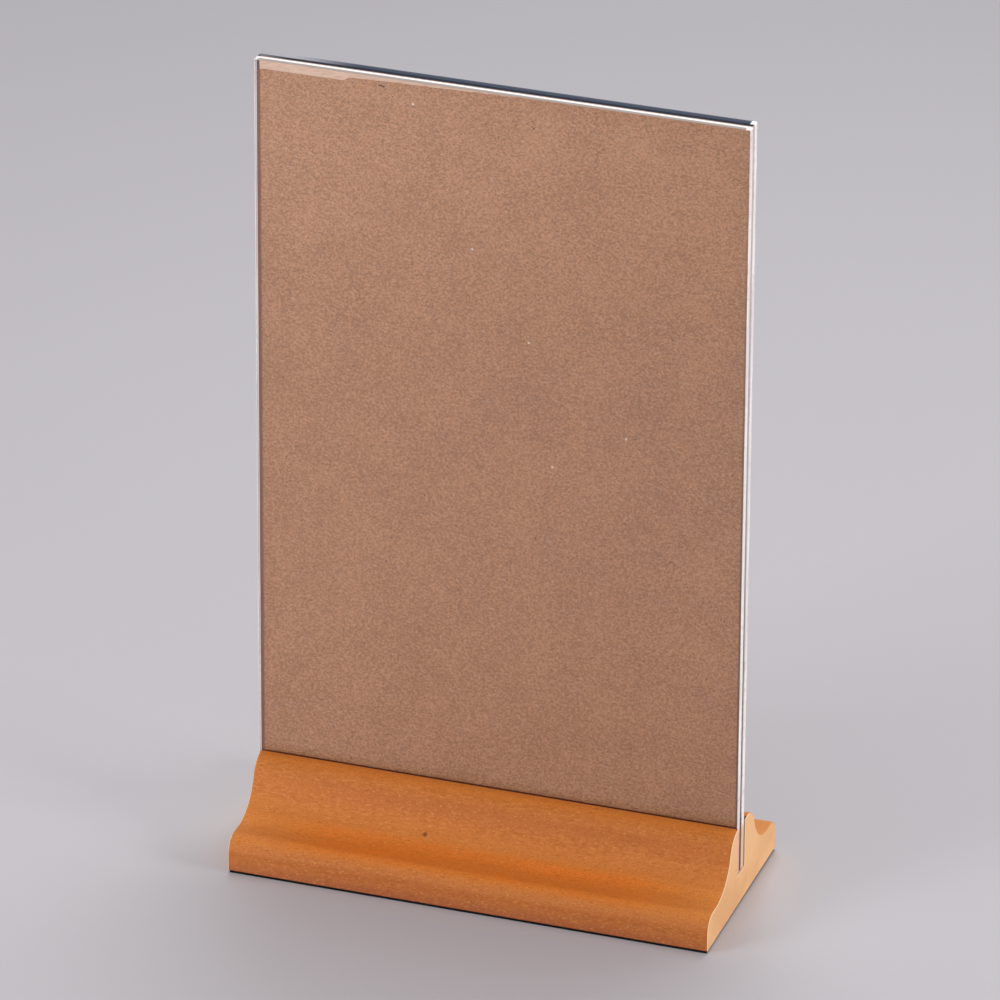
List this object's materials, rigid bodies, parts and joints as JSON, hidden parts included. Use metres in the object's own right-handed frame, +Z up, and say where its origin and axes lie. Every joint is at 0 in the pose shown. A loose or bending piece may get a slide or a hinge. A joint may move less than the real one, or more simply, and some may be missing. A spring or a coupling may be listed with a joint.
{
  "type": "menu stand",
  "caption": "Table-top menu stand: a varnished wooden ogee base with a kerf along its ridge holds clear plates upright, with a plain brown menu card sandwiched between them.",
  "frame": {"origin": "on the table, under the middle of the stand", "axes": "+Z up, X along the length of the base and across the plates, +Y from the front of the stand to its back"},
  "size_m": [0.1508, 0.0676, 0.2533],
  "materials": {
    "varnished_wood": "orange-brown satin varnish, grain along the length",
    "clear_acrylic": "clear, polished faces, bright cut edges",
    "kraft_board": "matte brown kraft with fine specks",
    "dark_rubber": "matte"
  },
  "bodies": {
    "base": {"base_moulding": "varnished_wood", "rubber_sheet": "dark_rubber"},
    "front_plate": {"front_plate": "clear_acrylic"},
    "back_plate": {"back_plate": "clear_acrylic"},
    "menu_card": {"menu_card": "kraft_board"}
  },
  "joints": [
    {"name": "front_plate_lift", "type": "slide", "parent": "base", "child": "front_plate", "axis": [0, 0, 1], "range_m": [0, 0.02]},
    {"name": "back_plate_lift", "type": "slide", "parent": "base", "child": "back_plate", "axis": [0, 0, 1], "range_m": [0, 0.02]},
    {"name": "menu_card_slide", "type": "slide", "parent": "base", "child": "menu_card", "axis": [0, 0, 1], "range_m": [0, 0.245]}
  ]
}
